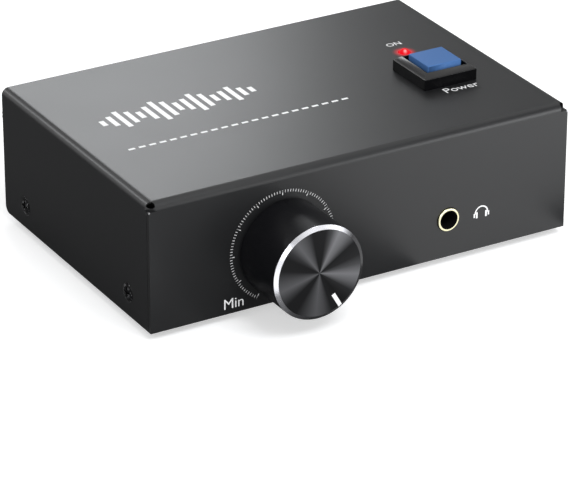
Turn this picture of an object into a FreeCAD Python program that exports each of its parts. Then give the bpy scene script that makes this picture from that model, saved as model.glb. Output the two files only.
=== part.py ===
"""Small phono preamp with a headphone output, modelled in millimetres.

The sizes and places below are measured from the surface that the feet rest on, under the
middle of the case. The written pieces are moved along Y so that the origin is under the
middle of the whole object, knob and rear terminals included. +X points right as seen from
the front, +Y points to the back and +Z points up.
"""
import FreeCAD
import Part
import math
import os

# Case
case_width = 120.0
case_depth = 79.6
cover_height = 34.6
foot_height = 2.0
sheet = 1.2
bend_radius = 2.0
fold_gap = 0.15
assembly_gap = 0.2
corner_notch = 2.1
corner_bead_radius = 0.4
corner_bead_drop = 0.9
corner_bead_proud = 0.1
cover_corner_round = 2.0

# Base tray
tray_bend_radius = 1.6
tray_flange_height = 14.0
tray_front_lip = 5.0
rear_panel_setback = 0.5
foot_radius = 5.0
foot_inset = 11.0
foot_dimple_radius = 2.0
foot_dimple_depth = 0.8

# Cover screws, with oval countersunk heads
cover_screw_spread = 56.0
cover_screw_height = 6.3
cover_screw_radius = 1.5
cover_screw_head_radius = 2.6
cover_screw_head_depth = 1.1
cover_screw_dome = 0.35
cover_screw_length = 7.0
thread_clearance = 0.04
tapped_boss_radius = 2.6
tapped_boss_length = 1.4

# Cross recesses
cross_span = 2.7
cross_width = 0.62
cross_depth = 0.9

# Circuit board
board_thickness = 1.6
board_side_gap = 4.5
board_front_gap = 1.5
board_rear_gap = 1.0
standoff_height = 4.8
standoff_radius = 2.75
standoff_inset_x = 11.0
standoff_inset_y = 9.8
board_screw_radius = 1.25
board_screw_length = 5.0
board_screw_head_radius = 2.4
board_screw_head_height = 1.5
hole_clearance = 0.15

# Volume control
knob_x = -23.2
pot_axis_height = 7.5
pot_body_width = 12.0
pot_body_depth = 9.0
pot_body_foot = 6.6
pot_body_head = 6.2
pot_wall = 1.0
bushing_radius = 3.5
bushing_length = 5.5
bushing_core_length = 1.5
shaft_radius = 3.0
shaft_reach = 14.5
shaft_flat_depth = 1.5
running_clearance = 0.05
press_clearance = 0.02
wiper_radius = 4.4
wiper_thickness = 1.2
washer_radius = 5.6
washer_thickness = 0.5
nut_flats = 10.0
nut_thickness = 2.0

# Volume knob
knob_radius = 12.45
knob_face_radius = 11.48
knob_edge_depth = 0.6
knob_reach = 17.9
knob_panel_gap = 0.9
knob_wall = 1.5
knob_face_thickness = 2.2
knob_nut_room = 6.2
knob_hub_radius = 5.2
knob_rib_count = 6
knob_rib_thickness = 1.2
pointer_width = 1.05
pointer_inner_radius = 7.6
pointer_outer_radius = 11.48
pointer_depth = 0.25
pointer_rest_angle = -60.0

# Headphone jack
jack_x = 24.7
jack_axis_height = 2.84
jack_body_width = 6.6
jack_body_height = 5.9
jack_body_depth = 12.0
jack_nose_radius = 3.1
jack_mouth_radius = 2.35
jack_bore_radius = 1.82
jack_nose_reach = 0.5
jack_nose_root = 3.0
jack_spring_thickness = 0.25
jack_spring_width = 1.4

# Power button
button_x = 40.17
button_y = -7.95
bezel_size = 15.6
bezel_side_height = 3.0
bezel_rim_height = 4.1
bezel_rim_size = 12.4
bezel_barrel_radius = 6.0
bezel_barrel_length = 11.0
button_bore_radius = 4.6
button_nut_flats = 14.0
button_nut_thickness = 2.0
cap_width = 10.0
cap_depth = 9.5
cap_top_height = 5.1
cap_height = 2.5
cap_edge = 0.25
cap_floor_gap = 0.2
button_travel = 1.6
stem_radius = 2.4
plunger_head_radius = 4.4
plunger_head_thickness = 2.0
spring_wire = 0.45
spring_turns = 5
spring_radius = 3.2
switch_block_size = 11.0
switch_block_height = 5.0
lug_width = 2.0
lug_thickness = 0.5
lug_length = 3.4
lug_spread = 5.0

# Power light
light_x = 41.2
light_y = 8.4
light_radius = 1.5
light_flange_radius = 1.95
light_flange_thickness = 1.0
light_dome_reach = 1.0
light_holder_radius = 3.0
light_holder_length = 3.6
light_lead_size = 0.5
light_lead_pitch = 2.54
light_lead_length = 4.5

# Input and output jacks
jack_row_height = 8.4
input_pair_inset = 33.0
jack_pair_gap = 32.0
jack_pair_pitch = 14.0
jack_housing_width = 27.0
jack_housing_height = 15.0
jack_housing_depth = 10.5
jack_panel_screw_drop = 4.6
shell_radius = 4.15
shell_wall = 0.45
shell_reach = 9.5
shell_root = 3.0
shell_flange_radius = 5.4
shell_flange_thickness = 0.9
insulator_setback = 0.6
contact_bore_radius = 1.65
contact_radius = 2.05
panel_screw_radius = 1.5
panel_screw_length = 8.0
panel_screw_head_radius = 2.8
panel_screw_head_height = 1.7

# DC inlet
inlet_x = 37.0
inlet_axis_height = 6.5
inlet_width = 9.0
inlet_height = 11.0
inlet_depth = 14.2
inlet_bore_radius = 3.1
inlet_bore_depth = 9.5
inlet_pin_radius = 1.05
inlet_pin_length = 8.5
inlet_spring_thickness = 0.3

# Ground post
ground_inset = 9.8
ground_z = 23.6
ground_stud_radius = 2.0
ground_stud_head_flats = 7.0
ground_stud_head_thickness = 2.8
ground_stud_reach = 12.2
ground_lock_nut_flats = 7.0
ground_lock_nut_thickness = 2.2
ground_washer_radius = 4.3
ground_washer_thickness = 0.8
thumb_nut_radius = 4.5
thumb_nut_collar_radius = 3.6
thumb_nut_collar_length = 2.0
thumb_nut_length = 9.4
thumb_nut_groove_count = 24
thumb_nut_groove_radius = 0.35

# Parts on the board
chip_length = 9.6
chip_width = 6.4
chip_height = 3.3
chip_lift = 0.5
chip_leg_pitch = 2.54
chip_leg_width = 0.5
chip_leg_thickness = 0.25
chip_notch_radius = 0.8
chip_places = [(-14.0, -2.0), (2.0, -2.0), (2.0, -16.0)]
small_can_radius = 3.15
small_can_height = 11.0
small_can_places = [
    (-40.0, -8.0), (-40.0, 2.0), (-28.0, 12.0), (-14.0, 12.0), (2.0, 12.0), (14.0, 12.0)
]
large_can_radius = 5.0
large_can_height = 16.0
large_can_places = [(24.0, 2.0), (24.0, 14.5)]
can_sleeve = 0.25
film_length = 7.2
film_width = 3.0
film_height = 6.5
film_places = [(-28.0, -14.0), (-28.0, -6.0), (-28.0, 2.0), (14.0, -8.0), (14.0, 0.0)]
resistor_radius = 1.15
resistor_length = 6.3
resistor_lead_radius = 0.3
resistor_lead_span = 10.0
resistor_places = [
    (-14.0, -12.0), (-14.0, -16.0), (-14.0, -20.0), (2.0, -24.0), (2.0, -28.0), (-14.0, 4.5), (2.0, 4.5)
]
diode_radius = 1.3
diode_length = 5.0
diode_places = [(36.0, 17.5), (36.0, 13.0)]
regulator_width = 10.0
regulator_depth = 4.5
regulator_height = 9.0
regulator_tab_height = 6.0
regulator_tab_thickness = 1.3
regulator_hole_radius = 1.8
regulator_leg_height = 3.5
regulator_inset = 11.0
regulator_y = 12.0
header_width = 10.2
header_depth = 5.8
header_height = 5.5
plug_proud = 0.5
plug_wire_depth = 3.2
header_wall = 0.8
header_x = 26.0
header_y = -12.0
wire_radius = 0.55
wire_pitch = 2.2
switch_wire_lead_in = 4.0
light_wire_rise = 9.0
light_wire_step = 2.2
light_wire_gap = 1.5

# Places worked out from the sizes above
half_width = case_width / 2
front = -case_depth / 2
back = case_depth / 2
top = foot_height + cover_height
front_inside = front + sheet
top_inside = top - sheet
tray_half_width = half_width - sheet - assembly_gap
input_pair_x = -half_width + input_pair_inset
output_pair_x = input_pair_x + jack_pair_gap
ground_x = -half_width + ground_inset
regulator_x = half_width - regulator_inset
tray_front = front_inside + assembly_gap
tray_floor = foot_height + sheet
panel_outside = back - rear_panel_setback
panel_inside = panel_outside - sheet
board_bottom = tray_floor + standoff_height
board_top = board_bottom + board_thickness
board_front = front_inside + board_front_gap
board_back = panel_inside - board_rear_gap
board_half_width = tray_half_width - sheet - board_side_gap
pot_axis = board_top + pot_axis_height
jack_axis = board_top + jack_axis_height
jack_row_axis = board_top + jack_row_height
inlet_axis = board_top + inlet_axis_height
screw_z = foot_height + cover_screw_height
bezel_floor_height = cap_top_height - cap_height - button_travel - cap_floor_gap
terminal_reach = ground_lock_nut_thickness + ground_washer_thickness + thumb_nut_length
origin_shift = (knob_reach - terminal_reach + rear_panel_setback) / 2

along_x = FreeCAD.Vector(1, 0, 0)
along_y = FreeCAD.Vector(0, 1, 0)
along_z = FreeCAD.Vector(0, 0, 1)
far = case_width + case_depth


def point(x, y, z):
    return FreeCAD.Vector(x, y, z)


def block(x_low, x_high, y_low, y_high, z_low, z_high):
    """Box between two corners."""
    size = (x_high - x_low, y_high - y_low, z_high - z_low)
    return Part.makeBox(*size, point(x_low, y_low, z_low))


def centred_block(x, y, width, depth, z_low, z_high):
    """Box centred on x and y."""
    return block(x - width / 2, x + width / 2, y - depth / 2, y + depth / 2, z_low, z_high)


def rod(radius, x, z, y_low, y_high):
    """Round bar along Y."""
    return Part.makeCylinder(radius, y_high - y_low, point(x, y_low, z), along_y)


def post(radius, x, y, z_low, z_high):
    """Round bar along Z."""
    return Part.makeCylinder(radius, z_high - z_low, point(x, y, z_low), along_z)


def hexagon(flats, start, direction, thickness):
    """Six-sided prism, as on a nut, that starts at a point and runs along a direction."""
    corner_radius = flats / math.sqrt(3)
    corners = []
    for step in range(7):
        angle = math.radians(60 * step)
        corners.append(point(corner_radius * math.cos(angle), corner_radius * math.sin(angle), 0))
    prism = Part.Face(Part.makePolygon(corners)).extrude(point(0, 0, thickness))
    turn = FreeCAD.Rotation(along_z, direction)
    prism.Placement = FreeCAD.Placement(start, turn)
    return prism


def join(shapes):
    """Fuse a list of touching solids into one."""
    shapes = list(shapes)
    if len(shapes) == 1:
        return shapes[0]
    return shapes[0].fuse(shapes[1:]).removeSplitter()


def edges_where(shape, test):
    """Edges whose both ends pass a test."""
    return [edge for edge in shape.Edges if all(test(vertex.Point) for vertex in edge.Vertexes)]


def near(value, target):
    return abs(value - target) < 0.001


def cross_recess(centre, outward):
    """Cutter for a cross recess: two crossed bars sunk into a screw head."""
    bars = []
    for width, height in ((cross_span, cross_width), (cross_width, cross_span)):
        corner = point(-width / 2, -height / 2, -cross_depth)
        bars.append(Part.makeBox(width, height, 2 * cross_depth, corner))
    cutter = join(bars)
    cutter.Placement = FreeCAD.Placement(centre, FreeCAD.Rotation(along_z, outward))
    return cutter


def swept_wire(points, radius):
    """Round wire along straight runs joined by tangent arcs as large as the runs allow."""
    edges = []
    start = points[0]
    for before, corner, after in zip(points, points[1:], points[2:]):
        inward = (before - corner).normalize()
        outward = (after - corner).normalize()
        turn = math.pi - inward.getAngle(outward)
        reach = 0.45 * min((before - corner).Length, (after - corner).Length)
        arc_radius = reach / math.tan(turn / 2)
        first = corner + inward * reach
        last = corner + outward * reach
        middle_way = (inward + outward).normalize()
        middle = corner + middle_way * (arc_radius / math.cos(turn / 2) - arc_radius)
        edges.append(Part.LineSegment(start, first).toShape())
        edges.append(Part.Arc(first, middle, last).toShape())
        start = last
    edges.append(Part.LineSegment(start, points[-1]).toShape())
    path = Part.Wire(edges)
    direction = (points[1] - points[0]).normalize()
    ring = Part.Wire(Part.makeCircle(radius, points[0], direction))
    return path.makePipeShell([ring], True, True)


def write(name, shapes):
    """Write one node: a single solid, or a group of separate solids."""
    if not isinstance(shapes, list):
        shapes = [shapes]
    solids = [solid for shape in shapes for solid in shape.Solids]
    shape = solids[0] if len(solids) == 1 else Part.makeCompound(solids)
    shape.translate(point(0, origin_shift, 0))
    shape.exportStep(f"parts/{name}.step")
    print(name, len(solids), "solids, volume", round(shape.Volume, 2), "valid", shape.isValid())


def cover_screw_places():
    """Side of the case and Y of each cover screw."""
    return [(side, y) for side in (-1, 1) for y in (-cover_screw_spread / 2, cover_screw_spread / 2)]


def standoff_places():
    reach_x = half_width - standoff_inset_x
    reach_y = case_depth / 2 - standoff_inset_y
    return [(x, y) for x in (-reach_x, reach_x) for y in (-reach_y, reach_y)]


def foot_places():
    reach_x = half_width - foot_inset
    reach_y = case_depth / 2 - foot_inset
    return [(x, y) for x in (-reach_x, reach_x) for y in (-reach_y, reach_y)]


def rear_jack_places():
    """X of each rear jack, left channel first in each pair."""
    half_pitch = jack_pair_pitch / 2
    return [pair + step for pair in (input_pair_x, output_pair_x) for step in (-half_pitch, half_pitch)]


def folded_top(outset, radius, y_back):
    """Solid block with the cover's three bends, set in from the cover's outer faces."""
    shape = block(
        -half_width + outset, half_width - outset, front + outset, y_back, foot_height, top - outset
    )
    bends = edges_where(
        shape,
        lambda p: near(p.z, top - outset) and not near(p.y, y_back),
    )
    bends += edges_where(
        shape,
        lambda p: near(p.z, top - outset) and near(abs(p.x), half_width - outset),
    )
    unique = {}
    for edge in bends:
        middle = edge.CenterOfMass
        unique[(round(middle.x, 3), round(middle.y, 3), round(middle.z, 3))] = edge
    return shape.makeFillet(radius, list(unique.values()))


def make_cover():
    """Folded sheet: top, front and two sides, open below and behind."""
    outer = folded_top(0, bend_radius, back + bend_radius)
    inner = folded_top(sheet, bend_radius - sheet, back + 2 * bend_radius)
    cover = outer.cut(inner)
    cover = cover.cut(block(-far, far, back, far, 0, far))
    cutters = []
    for side in (-1, 1):
        edge_x = side * half_width
        inner_x = side * (half_width - sheet)
        x_low, x_high = sorted((edge_x + side, inner_x))
        cutters.append(
            block(x_low, x_high, front_inside, front_inside + fold_gap, 0, top - corner_notch)
        )
        notch_side = corner_notch * math.sqrt(2)
        notch = centred_block(0, 0, notch_side, notch_side, -corner_notch, corner_notch)
        notch.Placement = FreeCAD.Placement(
            point(edge_x, front, top), FreeCAD.Rotation(along_z, 45)
        )
        cutters.append(notch)
    cutters.append(rod(bushing_radius + hole_clearance, knob_x, pot_axis, front - 1, front_inside + 1))
    cutters.append(rod(jack_nose_radius + hole_clearance, jack_x, jack_axis, front - 1, front_inside + 1))
    cutters.append(
        post(bezel_barrel_radius + hole_clearance, button_x, button_y, top_inside - 1, top + 1)
    )
    cutters.append(post(light_radius + hole_clearance, light_x, light_y, top_inside - 1, top + 1))
    for side, y in cover_screw_places():
        outward = along_x * side
        mouth = point(side * half_width, y, screw_z)
        cutters.append(Part.makeCylinder(
            cover_screw_radius + hole_clearance, 2 * sheet, mouth + outward * 0.5, outward * -1
        ))
        cutters.append(Part.makeCone(
            cover_screw_head_radius + thread_clearance,
            cover_screw_radius + thread_clearance,
            cover_screw_head_depth,
            mouth,
            outward * -1,
        ))
    cover = cover.cut(cutters)
    rear_corners = [
        edge for edge in cover.Edges
        if near(edge.CenterOfMass.y, back) and near(edge.CenterOfMass.z, foot_height)
        and near(edge.Length, sheet)
    ]
    cover = cover.makeFillet(cover_corner_round, rear_corners)
    beads = []
    for side in (-1, 1):
        bead_x = half_width + corner_bead_proud - corner_bead_radius
        spot = point(side * bead_x, front_inside, top - corner_notch - corner_bead_drop)
        beads.append(Part.makeSphere(corner_bead_radius, spot))
    return join([cover] + beads)


def make_base_tray():
    """Folded tray: floor, rear panel, two side flanges and a low front lip."""
    outer = block(
        -tray_half_width, tray_half_width, tray_front, panel_outside, foot_height, top_inside - assembly_gap
    )
    lower = edges_where(outer, lambda p: near(p.z, foot_height))
    outer = outer.makeFillet(tray_bend_radius, lower)
    upper = edges_where(outer, lambda p: near(p.z, top_inside - assembly_gap))
    upper = [edge for edge in upper if near(abs(edge.CenterOfMass.x), tray_half_width)]
    outer = outer.makeFillet(bend_radius - sheet + assembly_gap, upper)
    inner = block(
        -tray_half_width + sheet, tray_half_width - sheet, tray_front + sheet, panel_inside, tray_floor, far
    )
    inner_lower = edges_where(inner, lambda p: near(p.z, tray_floor))
    inner = inner.makeFillet(tray_bend_radius - sheet, inner_lower)
    tray = outer.cut(inner)
    flange_top = foot_height + tray_flange_height
    lip_top = foot_height + tray_front_lip
    panel_relief = panel_inside - fold_gap
    flange_front = tray_front + sheet + fold_gap
    cutters = [
        block(-far, far, -far, panel_relief, flange_top, far),
        block(-far, far, -far, flange_front, lip_top, far),
    ]
    for side in (-1, 1):
        x_low, x_high = sorted((side * far, side * (tray_half_width - sheet)))
        cutters.append(block(x_low, x_high, panel_relief, panel_inside, tray_floor + sheet, far))
        cutters.append(block(x_low, x_high, tray_front + sheet, flange_front, tray_floor + sheet, far))
    tray = tray.cut(cutters)
    bosses = []
    holes = []
    for side, y in cover_screw_places():
        outward = along_x * side
        inner_face = point(side * (tray_half_width - sheet), y, screw_z)
        bosses.append(Part.makeCylinder(tapped_boss_radius, tapped_boss_length, inner_face, outward * -1))
        holes.append(Part.makeCylinder(
            cover_screw_radius + thread_clearance,
            2 * sheet + tapped_boss_length + 1,
            inner_face + outward * (sheet + 0.5),
            outward * -1,
        ))
    tray = join([tray] + bosses)
    pair_half = jack_pair_pitch / 2
    for pair in (input_pair_x, output_pair_x):
        for step in (-pair_half, pair_half):
            holes.append(rod(
                shell_radius + hole_clearance, pair + step, jack_row_axis, panel_inside - 1, panel_outside + 1
            ))
        holes.append(rod(
            panel_screw_radius + hole_clearance, pair, panel_screw_z(), panel_inside - 1, panel_outside + 1
        ))
    holes.append(block(
        inlet_x - inlet_width / 2 - assembly_gap,
        inlet_x + inlet_width / 2 + assembly_gap,
        panel_inside - 1,
        panel_outside + 1,
        board_top - assembly_gap,
        board_top + inlet_height + assembly_gap,
    ))
    holes.append(rod(
        ground_stud_radius + hole_clearance, ground_x, ground_z, panel_inside - 1, panel_outside + 1
    ))
    return tray.cut(holes)


def panel_screw_z():
    """Height of the screw that holds each pair of rear jacks to the panel."""
    return jack_row_axis + jack_panel_screw_drop


def make_cover_screws():
    """Four countersunk cross-head screws."""
    screws = []
    for side, y in cover_screw_places():
        outward = along_x * side
        mouth = point(side * half_width, y, screw_z)
        head = Part.makeCone(
            cover_screw_head_radius, cover_screw_radius, cover_screw_head_depth, mouth, outward * -1
        )
        dome_ball = cover_screw_head_radius ** 2 + cover_screw_dome ** 2
        ball_radius = dome_ball / (2 * cover_screw_dome)
        ball = Part.makeSphere(ball_radius, mouth - outward * (ball_radius - cover_screw_dome))
        disc = Part.makeCylinder(cover_screw_head_radius, cover_screw_dome, mouth, outward)
        shank = Part.makeCylinder(
            cover_screw_radius, cover_screw_length - cover_screw_head_depth,
            mouth - outward * cover_screw_head_depth, outward * -1,
        )
        screw = join([head, disc.common(ball), shank])
        tip = mouth + outward * cover_screw_dome
        screws.append(screw.cut(cross_recess(tip, outward)))
    return screws


def make_rubber_feet():
    """Four round self-adhesive feet, dimpled underneath."""
    feet = []
    for x, y in foot_places():
        pad = post(foot_radius, x, y, 0, foot_height)
        rim = edges_where(pad, lambda p: near(p.z, 0))
        pad = pad.makeFillet(foot_dimple_depth, rim)
        dimple = post(foot_dimple_radius, x, y, -1, foot_dimple_depth)
        feet.append(pad.cut(dimple))
    return feet


def make_circuit_board():
    """Board with rounded corners and holes for its screws."""
    board = block(-board_half_width, board_half_width, board_front, board_back, board_bottom, board_top)
    corners = [edge for edge in board.Edges if near(edge.Length, board_thickness)]
    board = board.makeFillet(2.0, corners)
    holes = []
    for x, y in standoff_places():
        holes.append(post(board_screw_radius + hole_clearance, x, y, board_bottom - 1, board_top + 1))
    return board.cut(holes)


def make_board_standoffs():
    """Four tapped round pillars between the tray and the board."""
    pillars = []
    for x, y in standoff_places():
        pillar = post(standoff_radius, x, y, tray_floor, board_bottom)
        bore = post(board_screw_radius + thread_clearance, x, y, tray_floor + 1, board_bottom + 1)
        pillars.append(pillar.cut(bore))
    return pillars


def make_board_screws():
    """Four pan-head screws that hold the board to its pillars."""
    screws = []
    for x, y in standoff_places():
        shank = post(board_screw_radius, x, y, board_top - board_screw_length, board_top)
        head = post(board_screw_head_radius, x, y, board_top, board_top + board_screw_head_height)
        rim = edges_where(head, lambda p: near(p.z, board_top + board_screw_head_height))
        head = head.makeFillet(board_screw_head_height / 2, rim)
        recess = cross_recess(point(x, y, board_top + board_screw_head_height), along_z)
        screws.append(join([shank, head]).cut(recess))
    return screws


def make_volume_pot_body():
    """Potentiometer case behind the panel, hollow for its wiper."""
    depth_end = front_inside + pot_body_depth
    body = block(
        knob_x - pot_body_width / 2, knob_x + pot_body_width / 2,
        front_inside, depth_end,
        pot_axis - pot_body_foot, pot_axis + pot_body_head,
    )
    room = rod(
        wiper_radius + 3 * running_clearance, knob_x, pot_axis,
        front_inside + bushing_core_length, depth_end - pot_wall,
    )
    bore = rod(bushing_radius + press_clearance, knob_x, pot_axis, front_inside - 1, depth_end - pot_wall)
    return body.cut([room, bore])


def make_pot_bushing():
    """Threaded neck that the shaft turns in."""
    neck = rod(
        bushing_radius, knob_x, pot_axis, front - bushing_length, front_inside + bushing_core_length
    )
    bore = rod(shaft_radius + running_clearance, knob_x, pot_axis, front - bushing_length - 1, far)
    return neck.cut(bore)


def make_pot_shaft():
    """Shaft with a flat for the knob."""
    shaft_end = front - shaft_reach
    root = front_inside + pot_body_depth - pot_wall - 3 * running_clearance
    shaft = rod(shaft_radius, knob_x, pot_axis, shaft_end, root)
    flat = block(
        -far, far, -far, 0, shaft_radius - shaft_flat_depth, far
    )
    turn = FreeCAD.Rotation(along_y, -pointer_rest_angle)
    flat.Placement = FreeCAD.Placement(point(knob_x, front - bushing_length - 1, pot_axis), turn)
    return shaft.cut(flat)


def make_pot_wiper():
    """Disc on the shaft that carries the sliding contact."""
    start = front_inside + bushing_core_length + 3 * running_clearance
    disc = rod(wiper_radius, knob_x, pot_axis, start, start + wiper_thickness)
    bore = rod(shaft_radius + press_clearance, knob_x, pot_axis, start - 1, start + wiper_thickness + 1)
    return disc.cut(bore)


def make_pot_washer():
    """Flat washer between the panel and the nut."""
    disc = rod(washer_radius, knob_x, pot_axis, front - washer_thickness, front)
    return disc.cut(rod(bushing_radius + running_clearance, knob_x, pot_axis, -far, far))


def make_pot_nut():
    """Thin hexagon nut on the bushing, hidden in the knob's hollow back."""
    start = point(knob_x, front - washer_thickness, pot_axis)
    nut = hexagon(nut_flats, start, along_y * -1, nut_thickness)
    return nut.cut(rod(bushing_radius + thread_clearance, knob_x, pot_axis, -far, far))


def make_pot_pins():
    """Six solder pins in two rows under the potentiometer."""
    pins = []
    foot = pot_axis - pot_body_foot
    for row in (0.35, 0.75):
        y = front_inside + pot_body_depth * row
        for step in (-1, 0, 1):
            x = knob_x + step * 2 * chip_leg_pitch
            pins.append(centred_block(x, y, 0.8, 0.4, board_top, foot))
    return pins


def knob_back():
    return front - knob_panel_gap


def knob_face():
    return front - knob_reach


def make_knob_shell():
    """Turned metal shell with a cut front edge and a slot for its pointer."""
    face = knob_face()
    body = rod(knob_radius, knob_x, pot_axis, face + knob_edge_depth, knob_back())
    edge = Part.makeCone(
        knob_face_radius, knob_radius, knob_edge_depth, point(knob_x, face, pot_axis), along_y
    )
    hollow = rod(
        knob_radius - knob_wall, knob_x, pot_axis, face + knob_face_thickness, knob_back() + 1
    )
    return join([body, edge]).cut([hollow, pointer_block(face - 1)])


def pointer_block(y_front):
    """Bar at the pointer's place, from a given front to the bottom of its slot."""
    bar = block(
        pointer_inner_radius, pointer_outer_radius + knob_radius - knob_face_radius,
        y_front, knob_face() + pointer_depth,
        -pointer_width / 2, pointer_width / 2,
    )
    turn = FreeCAD.Rotation(along_y, -pointer_rest_angle)
    bar.Placement = FreeCAD.Placement(point(knob_x, 0, pot_axis), turn)
    return bar


def make_knob_pointer():
    """White inlay in the knob's face, trimmed to the knob's outline."""
    bar = pointer_block(knob_face())
    edge = Part.makeCone(
        knob_face_radius, knob_radius, knob_edge_depth, point(knob_x, knob_face(), pot_axis), along_y
    )
    return bar.common(edge)


def make_knob_insert():
    """Plastic core: a hub that grips the shaft, a ring and ribs between them."""
    y_front = knob_face() + knob_face_thickness
    y_back = knob_back() - knob_nut_room
    ring_radius = knob_radius - knob_wall - press_clearance
    ring = rod(ring_radius, knob_x, pot_axis, y_front, y_back)
    inner_radius = ring_radius - knob_rib_thickness
    ring = ring.cut(rod(inner_radius, knob_x, pot_axis, y_front + knob_rib_thickness, far))
    hub = rod(knob_hub_radius, knob_x, pot_axis, y_front, y_back)
    pieces = [ring, hub]
    for step in range(knob_rib_count):
        rib = block(
            knob_hub_radius - 1, ring_radius - knob_rib_thickness / 2,
            y_front, y_back,
            -knob_rib_thickness / 2, knob_rib_thickness / 2,
        )
        turn = FreeCAD.Rotation(along_y, 360 * step / knob_rib_count)
        rib.Placement = FreeCAD.Placement(point(knob_x, 0, pot_axis), turn)
        pieces.append(rib)
    core = join(pieces)
    shaft_room = rod(shaft_radius + press_clearance, knob_x, pot_axis, front - shaft_reach - 0.3, far)
    flat = block(
        -far, far, -far, far, shaft_radius - shaft_flat_depth + press_clearance, far
    )
    turn = FreeCAD.Rotation(along_y, -pointer_rest_angle)
    flat.Placement = FreeCAD.Placement(point(knob_x, 0, pot_axis), turn)
    return core.cut(shaft_room.cut(flat))


def make_headphone_jack_body():
    """Plastic case of the headphone jack on the board."""
    y_end = front_inside + jack_body_depth
    body = block(
        jack_x - jack_body_width / 2, jack_x + jack_body_width / 2,
        front_inside, y_end, board_top, board_top + jack_body_height,
    )
    bore = rod(jack_bore_radius, jack_x, jack_axis, front_inside - 1, far)
    nose_room = rod(
        jack_nose_radius - 0.6 + press_clearance, jack_x, jack_axis, front_inside - 1,
        front_inside + jack_nose_root,
    )
    windows = []
    for side, y in jack_spring_places():
        low, high = sorted((jack_x, jack_x + side * (jack_body_width / 2 + 1)))
        windows.append(block(
            low, high, y - jack_spring_width, y + jack_spring_width,
            jack_axis - jack_spring_width / 2, jack_axis + jack_spring_width / 2,
        ))
    return body.cut([bore, nose_room] + windows)


def jack_spring_places():
    """Side and Y of each contact spring along the headphone jack."""
    start = front_inside + jack_nose_root + 2
    return [(1, start), (-1, start + 2), (1, start + 4.5)]


def make_headphone_jack_nose():
    """Metal sleeve with a flared mouth that shows as a ring in the front."""
    tip = front - jack_nose_reach
    sleeve = rod(jack_nose_radius, jack_x, jack_axis, tip, front_inside)
    rim = edges_where(sleeve, lambda p: near(p.y, tip))
    sleeve = sleeve.makeFillet(jack_nose_reach / 2, rim)
    root = rod(jack_nose_radius - 0.6, jack_x, jack_axis, front_inside, front_inside + jack_nose_root)
    mouth = Part.makeCone(
        jack_mouth_radius, jack_bore_radius, 2 * sheet, point(jack_x, tip, jack_axis), along_y
    )
    return join([sleeve, root]).cut([rod(jack_bore_radius, jack_x, jack_axis, -far, far), mouth])


def make_headphone_jack_springs():
    """Three leaf springs beside the jack's bore."""
    springs = []
    for side, y in jack_spring_places():
        near_x = jack_x + side * (jack_bore_radius + 0.1)
        low, high = sorted((near_x, near_x + side * jack_spring_thickness))
        springs.append(block(
            low, high, y - jack_spring_width + running_clearance, y + jack_spring_width - running_clearance,
            jack_axis - jack_spring_width / 2, jack_axis + jack_spring_width / 2,
        ))
    return springs


def make_power_button_bezel():
    """Square frame with sloped rim and a threaded barrel through the top."""
    rim = top + bezel_rim_height
    base = centred_block(button_x, button_y, bezel_size, bezel_size, top, top + bezel_side_height)
    slope = tapered_frame(bezel_size, top + bezel_side_height, bezel_rim_size, rim)
    barrel = post(bezel_barrel_radius, button_x, button_y, top - bezel_barrel_length, top)
    well = centred_block(
        button_x, button_y, bezel_rim_size - 2 * cap_edge, bezel_rim_size - 2 * cap_edge,
        top + bezel_floor_height, rim + 1,
    )
    stem_bore = post(stem_radius + running_clearance, button_x, button_y, top - 2, rim)
    barrel_bore = post(
        button_bore_radius, button_x, button_y, top - bezel_barrel_length - 1, top - sheet
    )
    return join([base, slope, barrel]).cut([well, stem_bore, barrel_bore])


def tapered_frame(low_size, z_low, high_size, z_high):
    """Four-sided block that narrows from one square to a smaller one."""
    wires = []
    for size, z in ((low_size, z_low), (high_size, z_high)):
        half = size / 2
        corners = [(-half, -half), (half, -half), (half, half), (-half, half), (-half, -half)]
        wires.append(Part.makePolygon([point(button_x + x, button_y + y, z) for x, y in corners]))
    return Part.makeLoft(wires, True, True)


def make_power_button_nut():
    """Hexagon nut that clamps the barrel under the cover's top."""
    start = point(button_x, button_y, top_inside)
    nut = hexagon(button_nut_flats, start, along_z * -1, button_nut_thickness)
    return nut.cut(post(bezel_barrel_radius + thread_clearance, button_x, button_y, 0, far))


def cap_bottom():
    return top + cap_top_height - cap_height


def make_power_button_cap():
    """Blue square cap with softened edges."""
    cap = centred_block(
        button_x, button_y, cap_width, cap_depth, cap_bottom(), top + cap_top_height
    )
    soft = edges_where(cap, lambda p: near(p.z, top + cap_top_height))
    soft += [edge for edge in cap.Edges if near(edge.Length, cap_height)]
    cap = cap.makeFillet(cap_edge, soft)
    socket = post(stem_radius + press_clearance, button_x, button_y, 0, cap_bottom() + 1)
    return cap.cut(socket)


def make_power_button_plunger():
    """Stem under the cap, with a head inside the barrel that keeps it in."""
    head_top = top - sheet
    stem = post(stem_radius, button_x, button_y, head_top, cap_bottom() + 1)
    head = post(plunger_head_radius, button_x, button_y, head_top - plunger_head_thickness, head_top)
    return join([stem, head])


def make_power_button_spring():
    """Coil spring between the plunger's head and the contact block."""
    seat = spring_wire / 2 + press_clearance
    low = top - bezel_barrel_length + seat
    high = top - sheet - plunger_head_thickness - seat
    height = high - low
    half_turns = 2 * spring_turns
    rise = height / half_turns
    arcs = []
    for step in range(half_turns):
        side = 1 if step % 2 == 0 else -1
        first = point(side * spring_radius, 0, step * rise)
        middle = point(0, side * spring_radius, (step + 0.5) * rise)
        last = point(-side * spring_radius, 0, (step + 1) * rise)
        arcs.append(Part.Arc(first, middle, last).toShape())
    ring = Part.Wire(Part.makeCircle(spring_wire / 2, point(spring_radius, 0, 0), along_y))
    coil = Part.Wire(arcs).makePipeShell([ring], True, True)
    coil.translate(point(button_x, button_y, low))
    return coil


def switch_block_top():
    return top - bezel_barrel_length


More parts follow.
